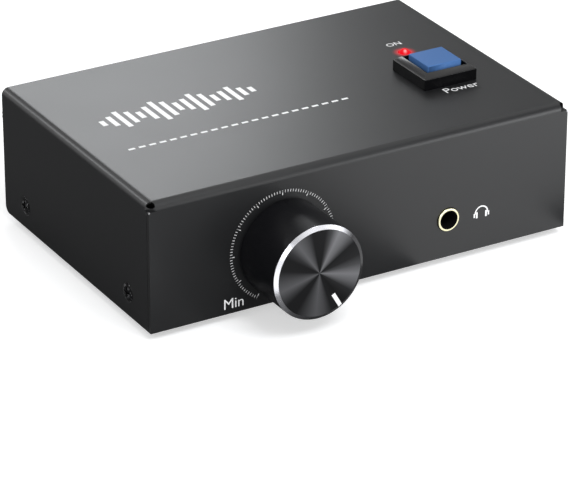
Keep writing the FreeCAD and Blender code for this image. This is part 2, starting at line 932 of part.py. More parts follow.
def make_switch_contact_block():
    """Square block with the contacts, closed against the barrel's end."""
    z_high = switch_block_top()
    block_shape = centred_block(
        button_x, button_y, switch_block_size, switch_block_size, z_high - switch_block_height, z_high
    )
    corners = [edge for edge in block_shape.Edges if near(edge.Length, switch_block_height)]
    return block_shape.makeFillet(1.0, corners)


def lug_places():
    half = lug_spread / 2
    return [(button_x + x, button_y + y) for x in (-half, half) for y in (-half / 2, half / 2)]


def make_switch_lugs():
    """Four solder lugs under the contact block."""
    lugs = []
    z_high = switch_block_top() - switch_block_height
    for x, y in lug_places():
        lug = centred_block(x, y, lug_width, lug_thickness, z_high - lug_length, z_high)
        hole = rod(0.5, x, z_high - lug_length + 1, y - 1, y + 1)
        lugs.append(lug.cut(hole))
    return lugs


def make_power_light():
    """Red lens with a dome above the cover and a flange below it."""
    dome_centre = top + light_dome_reach - light_radius
    stem = post(light_radius, light_x, light_y, top_inside, dome_centre)
    dome = Part.makeSphere(light_radius, point(light_x, light_y, dome_centre))
    upper = dome.common(post(light_radius + 1, light_x, light_y, dome_centre, top + 2))
    flange = post(
        light_flange_radius, light_x, light_y, top_inside - light_flange_thickness, top_inside
    )
    return join([stem, upper, flange])


def make_light_holder():
    """Clip ring that presses the light's flange against the cover."""
    z_high = top_inside
    ring = post(light_holder_radius, light_x, light_y, z_high - light_holder_length, z_high)
    room = post(
        light_flange_radius + running_clearance, light_x, light_y,
        z_high - light_flange_thickness, z_high + 1,
    )
    lead_hole = centred_block(
        light_x, light_y, light_lead_pitch + 2 * light_lead_size, 2 * light_lead_size, 0, z_high
    )
    return ring.cut([room, lead_hole])


def light_lead_places():
    half = light_lead_pitch / 2
    return [(light_x - half, light_y), (light_x + half, light_y)]


def make_light_leads():
    """Two square leads under the light."""
    z_high = top_inside - light_flange_thickness
    return [
        centred_block(x, y, light_lead_size, light_lead_size, z_high - light_lead_length, z_high)
        for x, y in light_lead_places()
    ]


def make_rca_housings():
    """Black housing of each pair of rear jacks, on the board behind the panel."""
    housings = []
    for pair in (input_pair_x, output_pair_x):
        body = block(
            pair - jack_housing_width / 2, pair + jack_housing_width / 2,
            panel_inside - jack_housing_depth, panel_inside,
            board_top, board_top + jack_housing_height,
        )
        holes = [rod(
            panel_screw_radius + thread_clearance, pair, panel_screw_z(),
            panel_inside - panel_screw_length, panel_inside + 1,
        )]
        for step in (-jack_pair_pitch / 2, jack_pair_pitch / 2):
            holes.append(rod(
                shell_radius + press_clearance, pair + step, jack_row_axis,
                panel_inside - shell_root, panel_inside + 1,
            ))
            holes.append(rod(
                contact_radius + press_clearance, pair + step, jack_row_axis,
                panel_inside - jack_housing_depth + 2, panel_inside,
            ))
        housings.append(body.cut(holes))
    return housings


def make_rca_shells():
    """Four plated sleeves with a shoulder against the rear panel."""
    shells = []
    for x in rear_jack_places():
        sleeve = rod(shell_radius, x, jack_row_axis, panel_inside - shell_root, panel_outside + shell_reach)
        tip = edges_where(sleeve, lambda p: near(p.y, panel_outside + shell_reach))
        sleeve = sleeve.makeFillet(shell_wall * 0.6, tip)
        shoulder = rod(
            shell_flange_radius, x, jack_row_axis, panel_outside, panel_outside + shell_flange_thickness
        )
        bore = rod(shell_radius - shell_wall, x, jack_row_axis, panel_inside - shell_root - 1, far)
        shells.append(join([sleeve, shoulder]).cut(bore))
    return shells


def insulator(x):
    """Coloured plug inside a shell, bored for the contact tube."""
    front_end = panel_inside - shell_root
    plug = rod(
        shell_radius - shell_wall - press_clearance, x, jack_row_axis,
        front_end, panel_outside + shell_reach - insulator_setback,
    )
    tube_room = rod(contact_radius + press_clearance, x, jack_row_axis, front_end - 1, contact_end())
    mouth = rod(contact_bore_radius, x, jack_row_axis, front_end, far)
    return plug.cut([tube_room, mouth])


def contact_end():
    return panel_outside + shell_reach - insulator_setback - 1.0


def make_rca_insulators(channel):
    """Insulators of one channel: 0 is left, 1 is right."""
    return [insulator(x) for x in rear_jack_places()[channel::2]]


def make_rca_contacts():
    """Four contact tubes, closed at the inner end."""
    tubes = []
    y_low = panel_inside - jack_housing_depth + 2
    for x in rear_jack_places():
        tube = rod(contact_radius, x, jack_row_axis, y_low, contact_end())
        bore = rod(contact_bore_radius, x, jack_row_axis, y_low + 1.5, far)
        tubes.append(tube.cut(bore))
    return tubes


def make_rear_panel_screws():
    """One pan-head screw through the rear panel into each jack housing."""
    screws = []
    for pair in (input_pair_x, output_pair_x):
        head_end = panel_outside + panel_screw_head_height
        shank = rod(
            panel_screw_radius, pair, panel_screw_z(), panel_inside - panel_screw_length + 1, panel_outside
        )
        head = rod(panel_screw_head_radius, pair, panel_screw_z(), panel_outside, head_end)
        rim = edges_where(head, lambda p: near(p.y, head_end))
        head = head.makeFillet(panel_screw_head_height / 2, rim)
        recess = cross_recess(point(pair, head_end, panel_screw_z()), along_y)
        screws.append(join([shank, head]).cut(recess))
    return screws


def make_dc_inlet_body():
    """Plastic case of the power inlet, flush with the rear panel."""
    body = block(
        inlet_x - inlet_width / 2, inlet_x + inlet_width / 2,
        panel_outside - inlet_depth, panel_outside, board_top, board_top + inlet_height,
    )
    socket = rod(inlet_bore_radius, inlet_x, inlet_axis, panel_outside - inlet_bore_depth, far)
    pin_room = rod(
        inlet_pin_radius + press_clearance, inlet_x, inlet_axis,
        panel_outside - inlet_bore_depth - 2, panel_outside,
    )
    spring_slot = block(
        inlet_x - 1.2, inlet_x + 1.2,
        panel_outside - inlet_bore_depth, panel_outside - 2,
        inlet_axis - inlet_bore_radius - 2 * inlet_spring_thickness, inlet_axis,
    )
    return body.cut([socket, pin_room, spring_slot])


def make_dc_inlet_pin():
    """Centre pin with a rounded end."""
    y_end = panel_outside - inlet_bore_depth + inlet_pin_length
    pin = rod(inlet_pin_radius, inlet_x, inlet_axis, panel_outside - inlet_bore_depth - 2, y_end)
    tip = edges_where(pin, lambda p: near(p.y, y_end))
    return pin.makeFillet(inlet_pin_radius / 2, tip)


def make_dc_inlet_spring():
    """Side contact strip in the floor of the socket."""
    z_low = inlet_axis - inlet_bore_radius - 2 * inlet_spring_thickness
    return block(
        inlet_x - 1.0, inlet_x + 1.0,
        panel_outside - inlet_bore_depth + 0.5, panel_outside - 2.5,
        z_low, z_low + inlet_spring_thickness,
    )


def make_ground_stud():
    """Screw through the rear panel, with its head inside the case."""
    start = point(ground_x, panel_inside, ground_z)
    head = hexagon(ground_stud_head_flats, start, along_y * -1, ground_stud_head_thickness)
    stud = rod(ground_stud_radius, ground_x, ground_z, panel_inside, panel_outside + ground_stud_reach)
    tip = edges_where(stud, lambda p: near(p.y, panel_outside + ground_stud_reach))
    return join([head, stud.makeChamfer(ground_stud_radius / 4, tip)])


def make_ground_lock_nut():
    """Hexagon nut that clamps the stud to the panel from outside."""
    start = point(ground_x, panel_outside, ground_z)
    nut = hexagon(ground_lock_nut_flats, start, along_y, ground_lock_nut_thickness)
    return nut.cut(rod(ground_stud_radius + thread_clearance, ground_x, ground_z, -far, far))


def ground_washer_start():
    return panel_outside + ground_lock_nut_thickness


def make_ground_washer():
    """Captive washer that clamps the ground wire."""
    start = ground_washer_start()
    disc = rod(ground_washer_radius, ground_x, ground_z, start, start + ground_washer_thickness)
    return disc.cut(rod(ground_stud_radius + running_clearance, ground_x, ground_z, -far, far))


def make_ground_thumb_nut():
    """Knurled nut with a plain collar, turned by hand along the stud."""
    start = ground_washer_start() + ground_washer_thickness
    end = start + thumb_nut_length
    collar = rod(thumb_nut_collar_radius, ground_x, ground_z, start, start + thumb_nut_collar_length)
    grip = rod(thumb_nut_radius, ground_x, ground_z, start + thumb_nut_collar_length, end)
    rims = edges_where(grip, lambda p: True)
    rims = [edge for edge in rims if near(edge.Length, 2 * math.pi * thumb_nut_radius)]
    grip = grip.makeChamfer(thumb_nut_groove_radius, rims)
    cutters = [rod(ground_stud_radius + running_clearance, ground_x, ground_z, -far, far)]
    for step in range(thumb_nut_groove_count):
        angle = 2 * math.pi * step / thumb_nut_groove_count
        x = ground_x + thumb_nut_radius * math.cos(angle)
        z = ground_z + thumb_nut_radius * math.sin(angle)
        cutters.append(rod(thumb_nut_groove_radius, x, z, start + thumb_nut_collar_length - 1, end + 1))
    return join([collar, grip]).cut(cutters)


def make_op_amps():
    """Integrated circuits in eight-leg cases, each with an end notch."""
    chips = []
    z_low = board_top + chip_lift
    for x, y in chip_places:
        chip = centred_block(x, y, chip_length, chip_width, z_low, z_low + chip_height)
        notch = post(chip_notch_radius, x - chip_length / 2, y, z_low + chip_height - 0.4, far)
        chips.append(chip.cut(notch))
    return chips


def make_chip_legs():
    """Eight bent legs on each integrated circuit."""
    legs = []
    z_middle = board_top + chip_lift + chip_height / 2
    for x, y in chip_places:
        for column in range(4):
            leg_x = x + (column - 1.5) * chip_leg_pitch
            for side in (-1, 1):
                y_body = y + side * chip_width / 2
                y_out = y_body + side * 0.9
                y_low, y_high = sorted((y_body, y_out))
                shoulder = block(
                    leg_x - chip_leg_width / 2, leg_x + chip_leg_width / 2,
                    y_low, y_high, z_middle, z_middle + chip_leg_thickness,
                )
                y_low, y_high = sorted((y_out - side * chip_leg_thickness, y_out))
                leg = block(
                    leg_x - chip_leg_width / 2, leg_x + chip_leg_width / 2,
                    y_low, y_high, board_top, z_middle + chip_leg_thickness,
                )
                legs.append(join([shoulder, leg]))
    return legs


def can_capacitor(x, y, radius, height):
    """Upright can with a crimp groove and a softened top rim."""
    can = post(radius, x, y, board_top, board_top + height)
    rim = edges_where(can, lambda p: near(p.z, board_top + height))
    can = can.makeFillet(can_sleeve * 2, rim)
    groove = Part.makeTorus(radius + can_sleeve, 2 * can_sleeve, point(x, y, board_top + 1.8))
    vent = post(radius - 4 * can_sleeve, x, y, board_top + height - can_sleeve, far)
    return can.cut([groove, vent])


def make_small_capacitors():
    return [can_capacitor(x, y, small_can_radius, small_can_height) for x, y in small_can_places]


def make_large_capacitors():
    return [can_capacitor(x, y, large_can_radius, large_can_height) for x, y in large_can_places]


def make_film_capacitors():
    """Box capacitors with softened edges."""
    boxes = []
    for x, y in film_places:
        shape = centred_block(x, y, film_length, film_width, board_top, board_top + film_height)
        soft = [edge for edge in shape.Edges if not near(edge.CenterOfMass.z, board_top)]
        boxes.append(shape.makeFillet(0.3, soft))
    return boxes


def axial_part(x, y, radius, length, lead_span):
    """Lying round part with two leads bent down into the board."""
    axis_z = board_top + radius + 0.2
    body = Part.makeCylinder(radius, length, point(x - length / 2, y, axis_z), along_x)
    body = body.makeFillet(radius * 0.35, [edge for edge in body.Edges if len(edge.Vertexes) == 1])
    lead = Part.makeCylinder(
        resistor_lead_radius, lead_span, point(x - lead_span / 2, y, axis_z), along_x
    )
    pieces = [body, lead]
    for side in (-1, 1):
        end_x = x + side * lead_span / 2
        pieces.append(post(resistor_lead_radius, end_x, y, board_top, axis_z))
        pieces.append(Part.makeSphere(resistor_lead_radius, point(end_x, y, axis_z)))
    return join(pieces)


def make_resistors():
    return [
        axial_part(x, y, resistor_radius, resistor_length, resistor_lead_span)
        for x, y in resistor_places
    ]


def make_diodes():
    return [
        axial_part(x, y, diode_radius, diode_length, resistor_lead_span)
        for x, y in diode_places
    ]


def make_voltage_regulator():
    """Upright regulator: case, metal tab with a hole and three legs."""
    z_low = board_top + regulator_leg_height
    z_high = z_low + regulator_height
    body = centred_block(regulator_x, regulator_y, regulator_width, regulator_depth, z_low, z_high)
    y_back = regulator_y + regulator_depth / 2
    tab = block(
        regulator_x - regulator_width / 2, regulator_x + regulator_width / 2,
        y_back - regulator_tab_thickness, y_back, z_low, z_high + regulator_tab_height,
    )
    hole = rod(
        regulator_hole_radius, regulator_x, z_high + regulator_tab_height / 2, regulator_y, y_back + 1
    )
    legs = [
        centred_block(regulator_x + step * chip_leg_pitch, regulator_y, 0.8, 0.5, board_top, z_low)
        for step in (-1, 0, 1)
    ]
    return join([body, tab] + legs).cut(hole)


def make_wire_header():
    """Open-topped connector that the harness plugs into."""
    rim = board_top + header_height
    shape = centred_block(header_x, header_y, header_width, header_depth, board_top, rim)
    room = centred_block(
        header_x, header_y, header_width - 2 * header_wall, header_depth - 2 * header_wall,
        board_top + header_wall, far,
    )
    return shape.cut(room)


def make_header_plug():
    """Plug with four wire holes, seated in the header."""
    gap = header_wall + running_clearance
    plug = centred_block(
        header_x, header_y, header_width - 2 * gap, header_depth - 2 * gap,
        board_top + header_wall, board_top + header_height + plug_proud,
    )
    hole_radius = wire_radius + running_clearance
    bottom = header_plug_depth()
    holes = [post(hole_radius, header_wire_x(slot), header_y, bottom, far) for slot in range(4)]
    return plug.cut(holes)


def header_wire_x(slot):
    return header_x + (slot - 1.5) * wire_pitch


def header_plug_depth():
    return board_top + header_height + plug_proud - plug_wire_depth


def make_switch_wires():
    """Two wires from the header's plug up to the switch lugs."""
    wires = []
    lug_middle = switch_block_top() - switch_block_height - lug_length / 2
    for slot, (lug_x, lug_y) in zip((3, 2), lug_places()):
        x = header_wire_x(slot)
        lug_side = lug_x - lug_width / 2
        wires.append(swept_wire([
            point(x, header_y, header_plug_depth()),
            point(x, header_y, lug_middle),
            point(lug_side - switch_wire_lead_in, lug_y, lug_middle),
            point(lug_side, lug_y, lug_middle),
        ], wire_radius))
    return wires


def make_light_wires():
    """Two wires from the header's plug up to the light's leads."""
    wires = []
    lead_end = top_inside - light_flange_thickness - light_lead_length
    swing_x = button_x - switch_block_size / 2 - light_wire_gap
    swing_y = button_y + switch_block_size / 2 + light_wire_gap
    for slot, (lead_x, lead_y) in zip((0, 1), light_lead_places()):
        x = header_wire_x(slot)
        reach = header_plug_depth() + light_wire_rise + light_wire_step * slot
        wires.append(swept_wire([
            point(x, header_y, header_plug_depth()),
            point(x, header_y, reach),
            point(swing_x, swing_y, reach),
            point(lead_x, lead_y, reach + light_wire_step),
            point(lead_x, lead_y, lead_end),
        ], wire_radius))
    return wires


def main():
    os.makedirs("parts", exist_ok=True)
    write("cover", make_cover())
    write("base_tray", make_base_tray())
    write("cover_screws", make_cover_screws())
    write("rubber_feet", make_rubber_feet())
    write("circuit_board", make_circuit_board())
    write("board_standoffs", make_board_standoffs())
    write("board_screws", make_board_screws())
    write("volume_pot_body", make_volume_pot_body())
    write("volume_pot_bushing", make_pot_bushing())
    write("volume_pot_shaft", make_pot_shaft())
    write("volume_pot_wiper", make_pot_wiper())
    write("volume_pot_washer", make_pot_washer())
    write("volume_pot_nut", make_pot_nut())
    write("volume_pot_pins", make_pot_pins())
    write("volume_knob_shell", make_knob_shell())
    write("volume_knob_pointer", make_knob_pointer())
    write("volume_knob_insert", make_knob_insert())
    write("headphone_jack_body", make_headphone_jack_body())
    write("headphone_jack_nose", make_headphone_jack_nose())
    write("headphone_jack_springs", make_headphone_jack_springs())
    write("power_button_bezel", make_power_button_bezel())
    write("power_button_nut", make_power_button_nut())
    write("power_button_cap", make_power_button_cap())
    write("power_button_plunger", make_power_button_plunger())
    write("power_button_spring", make_power_button_spring())
    write("switch_contact_block", make_switch_contact_block())
    write("switch_lugs", make_switch_lugs())
    write("power_light", make_power_light())
    write("light_holder", make_light_holder())
    write("light_leads", make_light_leads())
    write("rca_housings", make_rca_housings())
    write("rca_shells", make_rca_shells())
    write("rca_insulators_left", make_rca_insulators(0))
    write("rca_insulators_right", make_rca_insulators(1))
    write("rca_contacts", make_rca_contacts())
    write("rear_panel_screws", make_rear_panel_screws())
    write("dc_inlet_body", make_dc_inlet_body())
    write("dc_inlet_pin", make_dc_inlet_pin())
    write("dc_inlet_spring", make_dc_inlet_spring())
    write("ground_stud", make_ground_stud())
    write("ground_lock_nut", make_ground_lock_nut())
    write("ground_washer", make_ground_washer())
    write("ground_thumb_nut", make_ground_thumb_nut())
    write("op_amps", make_op_amps())
    write("chip_legs", make_chip_legs())
    write("small_capacitors", make_small_capacitors())
    write("large_capacitors", make_large_capacitors())
    write("film_capacitors", make_film_capacitors())
    write("resistors", make_resistors())
    write("diodes", make_diodes())
    write("voltage_regulator", make_voltage_regulator())
    write("wire_header", make_wire_header())
    write("header_plug", make_header_plug())
    write("switch_wires", make_switch_wires())
    write("light_wires", make_light_wires())


main()
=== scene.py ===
"""Looks for a small black phono preamp with a headphone output, in metres.

Each section below is one piece of the object or one group of like pieces, in the order in
which they are put together: sheet metal, knob, button, light, sockets, then the inside.
"""
import bpy
import math
from mathutils import Matrix, Vector


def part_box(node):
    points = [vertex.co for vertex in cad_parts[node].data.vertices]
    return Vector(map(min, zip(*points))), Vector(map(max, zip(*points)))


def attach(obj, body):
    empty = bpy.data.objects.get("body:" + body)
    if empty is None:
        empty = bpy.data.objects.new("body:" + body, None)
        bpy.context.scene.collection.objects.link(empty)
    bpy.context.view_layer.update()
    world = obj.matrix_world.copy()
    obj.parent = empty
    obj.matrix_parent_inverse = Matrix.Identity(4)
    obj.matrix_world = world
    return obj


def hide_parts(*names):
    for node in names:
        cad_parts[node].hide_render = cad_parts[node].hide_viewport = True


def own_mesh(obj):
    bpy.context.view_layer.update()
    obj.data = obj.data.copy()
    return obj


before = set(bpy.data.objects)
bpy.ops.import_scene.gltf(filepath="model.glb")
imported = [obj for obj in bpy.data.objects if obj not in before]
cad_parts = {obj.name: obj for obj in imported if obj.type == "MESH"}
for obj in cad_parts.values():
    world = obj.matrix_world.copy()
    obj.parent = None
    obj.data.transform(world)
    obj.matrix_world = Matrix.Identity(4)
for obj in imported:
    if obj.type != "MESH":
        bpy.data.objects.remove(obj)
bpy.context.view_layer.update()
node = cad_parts


# Cover: one folded steel sheet, top, front and two sides, powder coated black.
# The coat is satin with a faint orange peel. The power light's red glow on it is painted
# light, the notched front corners are painted black as shade, and a bead of bare steel shows
# under each.
class Shade:
    """A shader socket that takes arithmetic, and makes the other nodes of its material."""

    def __init__(self, socket):
        self.socket = socket

    def node(self, kind, settings, inputs, output=0):
        tree = self.socket.id_data
        made = tree.nodes.new(kind)
        for name, value in settings.items():
            if name == "stops":
                ramp = made.color_ramp.elements
                while len(ramp) > 1:
                    ramp.remove(ramp[-1])
                ramp[0].position, ramp[0].color = value[0]
                for place, colour in value[1:]:
                    ramp.new(place).color = colour
            else:
                setattr(made, name, value)
        for name, value in inputs.items():
            if isinstance(value, Shade):
                tree.links.new(value.socket, made.inputs[name])
            else:
                made.inputs[name].default_value = value
        return Shade(made.outputs[output]) if len(made.outputs) else None

    def maths(self, operation, *values):
        return self.node("ShaderNodeMath", {"operation": operation}, dict(enumerate(values)))

    def __add__(self, other):
        return self.maths("ADD", self, other)

    def __sub__(self, other):
        return self.maths("SUBTRACT", self, other)

    def __rsub__(self, other):
        return self.maths("SUBTRACT", other, self)

    def __mul__(self, other):
        return self.maths("MULTIPLY", self, other)

    def __truediv__(self, other):
        return self.maths("DIVIDE", self, other)

    def __gt__(self, other):
        return self.maths("GREATER_THAN", self, other)

    def __lt__(self, other):
        return self.maths("LESS_THAN", self, other)

    __radd__ = __add__
    __rmul__ = __mul__


def start_material(name):
    """New material with an empty node tree; returns it and its Object coordinates."""
    material = bpy.data.materials.new(name)
    material.use_nodes = True
    material.node_tree.nodes.clear()
    coordinates = material.node_tree.nodes.new("ShaderNodeTexCoord")
    return material, Shade(coordinates.outputs["Object"])


def blend(place, factor, low, high):
    """Colour between two colours."""
    mixed = {"data_type": "RGBA", "clamp_factor": True}
    return place.node("ShaderNodeMix", mixed, {0: factor, 6: low, 7: high}, 2)


def split(vector):
    """X, Y and Z of a vector."""
    return [vector.node("ShaderNodeSeparateXYZ", {}, {0: vector}, axis) for axis in range(3)]


def distance_to(place, centre):
    """How far each point lies from a centre."""
    return place.node("ShaderNodeVectorMath", {"operation": "DISTANCE"}, {0: place, 1: centre}, 1)


def noise(place, scale, detail=3.0):
    """Soft grain, with scale in grains to the metre."""
    return place.node("ShaderNodeTexNoise", {}, {"Vector": place, "Scale": scale, "Detail": detail})


def surface(place, inputs, bump=None, depth=0.00001, strength=0.5):
    """Principled surface with an optional bump, wired to the material's output."""
    if bump is not None:
        inputs["Normal"] = place.node(
            "ShaderNodeBump", {}, {"Height": bump, "Distance": depth, "Strength": strength}
        )
    shader = place.node("ShaderNodeBsdfPrincipled", {}, inputs)
    place.node("ShaderNodeOutputMaterial", {}, {"Surface": shader})


def dress(material, *names):
    """Gives CAD pieces their finish."""
    for name in names:
        node[name].data.materials.clear()
        node[name].data.materials.append(material)


def fade_out(distance, start, end):
    """1 up to start, falling to 0 at end."""
    return distance.node("ShaderNodeMapRange", {}, {0: distance, 1: start, 2: end, 3: 1.0, 4: 0.0})


cover_coat, place = start_material("cover_coat")
cover_low, cover_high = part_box("cover")
light_low, light_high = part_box("power_light")
glow_centre = ((light_low.x + light_high.x) / 2, (light_low.y + light_high.y) / 2, cover_high.z)
glow_start, glow_end = 0.0014, 0.0036
notch_shade_radius = 0.0022
bead_drop, bead_radius = 0.0021, 0.00045
# Painted light: the power light's red glow on the coat, fading out from the light.
painted_led_glow = fade_out(distance_to(place, glow_centre), glow_start, glow_end)
speckle = noise(place, 2600.0)
cloud = noise(place, 45.0)
# Painted shade: black round each notched front corner. The bead below it is bare steel.
notch_painted_shade, bare = 0.0, 0.0
for side_x in (cover_low.x, cover_high.x):
    corner = (side_x, cover_low.y, cover_high.z)
    bead = (side_x, cover_low.y, cover_high.z - bead_drop)
    notch_painted_shade = (distance_to(place, corner) < notch_shade_radius) + notch_painted_shade
    bare = (distance_to(place, bead) < bead_radius) + bare
coat = blend(place, cloud, (0.0088, 0.0090, 0.0097, 1), (0.0108, 0.0110, 0.0117, 1))
coat = blend(place, notch_painted_shade, coat, (0.0012, 0.0012, 0.0012, 1))
surface(place, {
    "Base Color": blend(place, bare, coat, (0.55, 0.55, 0.56, 1)),
    "Metallic": bare * 0.9 + notch_painted_shade,
    "Roughness": 0.33 + 0.03 * cloud + 0.04 * speckle + 0.3 * notch_painted_shade,
    "Emission Color": blend(place, painted_led_glow * painted_led_glow, (0, 0, 0, 1), (0.85, 0.0, 0.01, 1)),
    "Emission Strength": 1.0,
}, bump=speckle, depth=0.000012, strength=0.35)
dress(cover_coat, "cover")


# Base tray: folded steel sheet under the cover, with the rear panel; black like the cover
# but a little duller, since it isn't seen from the front.
tray_coat, place = start_material("tray_coat")
speckle = noise(place, 2200.0)
cloud = noise(place, 60.0)
surface(place, {
    "Base Color": blend(place, cloud, (0.011, 0.011, 0.012, 1), (0.016, 0.016, 0.017, 1)),
    "Roughness": 0.38 + 0.1 * speckle,
}, bump=speckle, depth=0.000012, strength=0.4)
dress(tray_coat, "base_tray")


# Cover screws and rear panel screws: small steel screws with a cross, blackened by oxide,
# with pale specks painted on as glints.
screw_black, place = start_material("screw_black")
# Painted highlights: pale specks spread at random stand for glints on the heads.
glint_specks = noise(place, 1500.0, 6.0)
glint_level = 0.6
surface(place, {
    "Base Color": blend(
        place, glint_specks > glint_level, (0.012, 0.012, 0.013, 1), (0.34, 0.34, 0.35, 1)
    ),
    "Metallic": 0.7,
    "Roughness": 0.2 + 0.2 * glint_specks,
})


def soften(source, name, width, material, body="chassis"):
    """Copy of a CAD piece that stands for it, with sharp edges rounded where width isn't 0."""
    sharp, flat, weld = math.radians(35), math.radians(0.5), 0.000001
    piece = bpy.data.objects.new(name, node[source].data.copy())
    piece.data.name = name
    bpy.context.scene.collection.objects.link(piece)
    bpy.ops.object.select_all(action="DESELECT")
    piece.select_set(True)
    bpy.context.view_layer.objects.active = piece
    bpy.ops.object.mode_set(mode="EDIT")
    bpy.ops.mesh.select_all(action="SELECT")
    bpy.ops.mesh.remove_doubles(threshold=weld)
    bpy.ops.mesh.dissolve_limited(angle_limit=flat)
    bpy.ops.object.mode_set(mode="OBJECT")
    bpy.ops.object.shade_smooth_by_angle(angle=sharp)
    if width:
        rounding = piece.modifiers.new("rounding", "BEVEL")
        rounding.harden_normals = True
        rounding.width = width
        rounding.segments = 2
        rounding.limit_method = "ANGLE"
        rounding.angle_limit = sharp
        bpy.ops.object.modifier_apply(modifier="rounding")
    piece.data.materials.clear()
    piece.data.materials.append(material)
    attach(piece, body)
    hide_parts(source)
    return piece


screw_edge = 0.00006
soften("cover_screws", "case_screws", screw_edge, screw_black)
soften("rear_panel_screws", "socket_screws", screw_edge, screw_black)


# Rubber feet: four soft black discs, moulded in rubber and stuck under the tray's floor.
# They keep the case from sliding.
rubber, place = start_material("foot_rubber")
grain = noise(place, 1800.0, 5.0)
surface(place, {
    "Base Color": blend(place, grain, (0.012, 0.012, 0.012, 1), (0.024, 0.024, 0.023, 1)),
    "Roughness": 0.75 + 0.15 * grain,
}, bump=grain, depth=0.00003)
dress(rubber, "rubber_feet")


# Printed marks: white ink, screen printed on the cover and on the rear panel, a few
# hundredths of a millimetre thick. Letters, ticks and the headphone sign share the ink.
ink, place = start_material("white_ink")
grain = noise(place, 2500.0)
surface(place, {
    "Base Color": blend(place, grain, (0.86, 0.86, 0.86, 1), (0.92, 0.92, 0.92, 1)),
    "Roughness": 0.55 + 0.1 * grain,
})
ink_thickness = 0.00003
front_y = cover_low.y
top_z = cover_high.z
panel_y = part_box("base_tray")[1].y
front_plane = Matrix.Rotation(math.radians(90), 4, "X")
rear_plane = Matrix.Rotation(math.radians(180), 4, "Z") @ front_plane


def settle(piece, name):
    """Names a finished mark, gives it the ink and lets it ride with the case."""
    piece.name = name
    piece.data.name = name
    piece.data.materials.clear()
    piece.data.materials.append(ink)
    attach(piece, "chassis")


def middle_of(name):
    """Middle of a CAD piece, to a hundredth of a millimetre."""
    low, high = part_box(name)
    return Vector([round(value, 5) for value in (low + high) / 2])


def print_words(name, words, height, centre, plane):
    """Raised lettering of a given capital height, centred on a place."""
    capital_share = 0.729
    bpy.ops.object.select_all(action="DESELECT")
    bpy.ops.object.text_add()
    letters = bpy.context.object
    letters.data.body = words
    letters.data.align_x = "CENTER"
    letters.data.size = height / capital_share
    letters.data.extrude = ink_thickness / 2
    letters.data.resolution_u = 4
    bpy.ops.object.convert(target="MESH")
    letters = bpy.context.object
    letters.data.transform(Matrix.Translation(centre) @ plane)
    settle(letters, name)


def print_block(name, size, centre):
    """Printed rectangle, given by its size and its middle."""
    bpy.ops.object.select_all(action="DESELECT")
    bpy.ops.mesh.primitive_cube_add(size=1.0)
    block = bpy.context.object
    block.data.transform(Matrix.Diagonal((*size, 1)))
    block.data.transform(Matrix.Translation(centre))
    settle(block, name)
    return block


bezel_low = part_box("power_button_bezel")[0]
power_height, power_aside, power_gap = 0.0028, 0.00148, 0.00365
on_height, on_aside, on_gap = 0.00205, 0.0003, 0.00295
power_place = (middle_of("power_button_bezel").x + power_aside, bezel_low.y - power_gap, top_z)
on_place = (middle_of("power_light").x + on_aside, light_high.y + on_gap, top_z)
print_words("mark_power", "Power", power_height, power_place, Matrix.Identity(4))
print_words("mark_on", "ON", on_height, on_place, Matrix.Identity(4))
knob_middle = middle_of("volume_knob_shell")
word_height, word_drop, min_aside, max_aside = 0.0029, 0.0137, -0.0138, 0.0140
for name, words, aside in (("mark_min", "Min", min_aside), ("mark_max", "Max", max_aside)):
    word_place = (knob_middle.x + aside, front_y, knob_middle.z - word_drop)
    print_words(name, words, word_height, word_place, front_plane)

# Dial ticks round the knob: fine ones every 3 degrees and longer ones every 30 degrees,
# from seven o'clock over the top to five o'clock.
dial_centre = Vector((knob_middle.x, front_y, knob_middle.z))
dial_radius, dial_start, dial_span = 0.0148, 120, 300
for name, step, inner, width in (
    ("dial_fine_ticks", 3, 0.0141, 0.00012), ("dial_long_ticks", 30, 0.0135, 0.00017)
):
    tick = print_block(
        name, (dial_radius - inner, ink_thickness, width), ((inner + dial_radius) / 2, 0, 0)
    )
    turned = Matrix.Rotation(math.radians(dial_start), 4, "Y")
    tick.data.transform(Matrix.Translation(dial_centre) @ turned)
    bpy.ops.object.mode_set(mode="EDIT")
    bpy.ops.mesh.select_all(action="SELECT")
    bpy.ops.mesh.spin(
        steps=dial_span // step, dupli=True, angle=math.radians(dial_span),
        center=dial_centre, axis=(0, -1, 0),
    )
    bpy.ops.mesh.select_all(action="SELECT")
    bpy.ops.mesh.normals_make_consistent(inside=False)
    bpy.ops.object.mode_set(mode="OBJECT")

# Headphone sign beside the jack: a band over two cups, each of two bars.
jack_middle = middle_of("headphone_jack_nose")
sign_aside, sign_drop = 0.0100, 0.00059
sign_centre = Vector((jack_middle.x + sign_aside, front_y, jack_middle.z - sign_drop))
band_radius, band_width, band_cut = 0.00185, 0.00038, 0.0001
bpy.ops.object.select_all(action="DESELECT")
bpy.ops.mesh.primitive_torus_add(
    major_radius=band_radius, minor_radius=band_width / 2, major_segments=48, minor_segments=10
)
band = bpy.context.object
band.data.transform(Matrix.Diagonal((1, 1, ink_thickness / band_width, 1)))
band.data.transform(Matrix.Translation(sign_centre) @ front_plane)
bpy.ops.object.mode_set(mode="EDIT")
bpy.ops.mesh.select_all(action="SELECT")
bpy.ops.mesh.bisect(
    plane_co=sign_centre - Vector((0, 0, band_cut)), plane_no=(0, 0, 1),
    use_fill=True, clear_inner=True, threshold=0.00001,
)
bpy.ops.object.mode_set(mode="OBJECT")
settle(band, "sign_band")
for side, hand in ((-1, "left"), (1, "right")):
    for kind, reach, drop, length, width in (
        ("outer", 0.00212, 0.0004, 0.0011, 0.00042), ("inner", 0.00138, 0.0004, 0.0017, 0.0005)
    ):
        print_block(
            f"sign_{kind}_{hand}", (width, ink_thickness, length),
            (sign_centre.x + side * reach, front_y, sign_centre.z - drop),
        )

